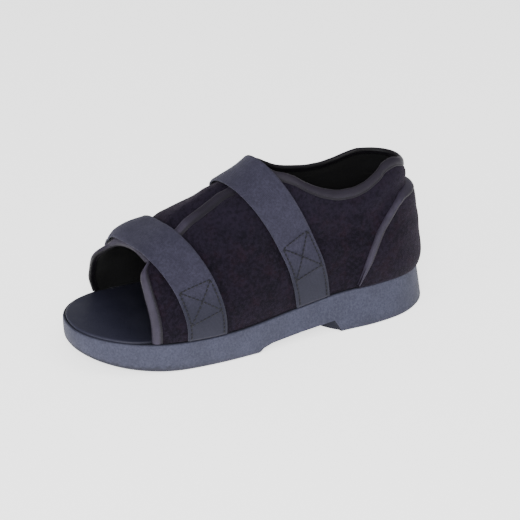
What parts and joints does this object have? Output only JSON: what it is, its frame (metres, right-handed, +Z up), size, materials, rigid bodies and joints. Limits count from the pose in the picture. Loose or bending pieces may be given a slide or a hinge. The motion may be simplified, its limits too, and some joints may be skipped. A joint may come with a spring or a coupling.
{
  "type": "post operative shoe",
  "caption": "Open-toed shoe worn over a bandaged foot: soft cloth upper, thick moulded sole with a rocker toe, and webbing straps over the instep and forefoot",
  "frame": {"origin": "bottom centre of the bounding box: on the floor, under the middle of the shoe", "axes": "X runs along the shoe with +X to the toe, +Y is to the wearer's left, where the straps are sewn down, and +Z is up"},
  "size_m": [0.2808, 0.109, 0.1274],
  "materials": {
    "foam": "matt moulded foam",
    "insole": "matt smooth foam sheet",
    "cloth": "brushed looped pile",
    "tape": "satin ribbed binding",
    "webbing": "plain woven webbing"
  },
  "bodies": {
    "root": {"sole": "foam", "insole": "insole", "upper": "cloth", "heel_counter": "cloth", "counter_tape": "tape", "left_flap_tape": "tape", "right_flap_tape": "tape", "collar_tape": "tape", "front_strap": "webbing", "rear_strap": "webbing"}
  },
  "joints": []
}
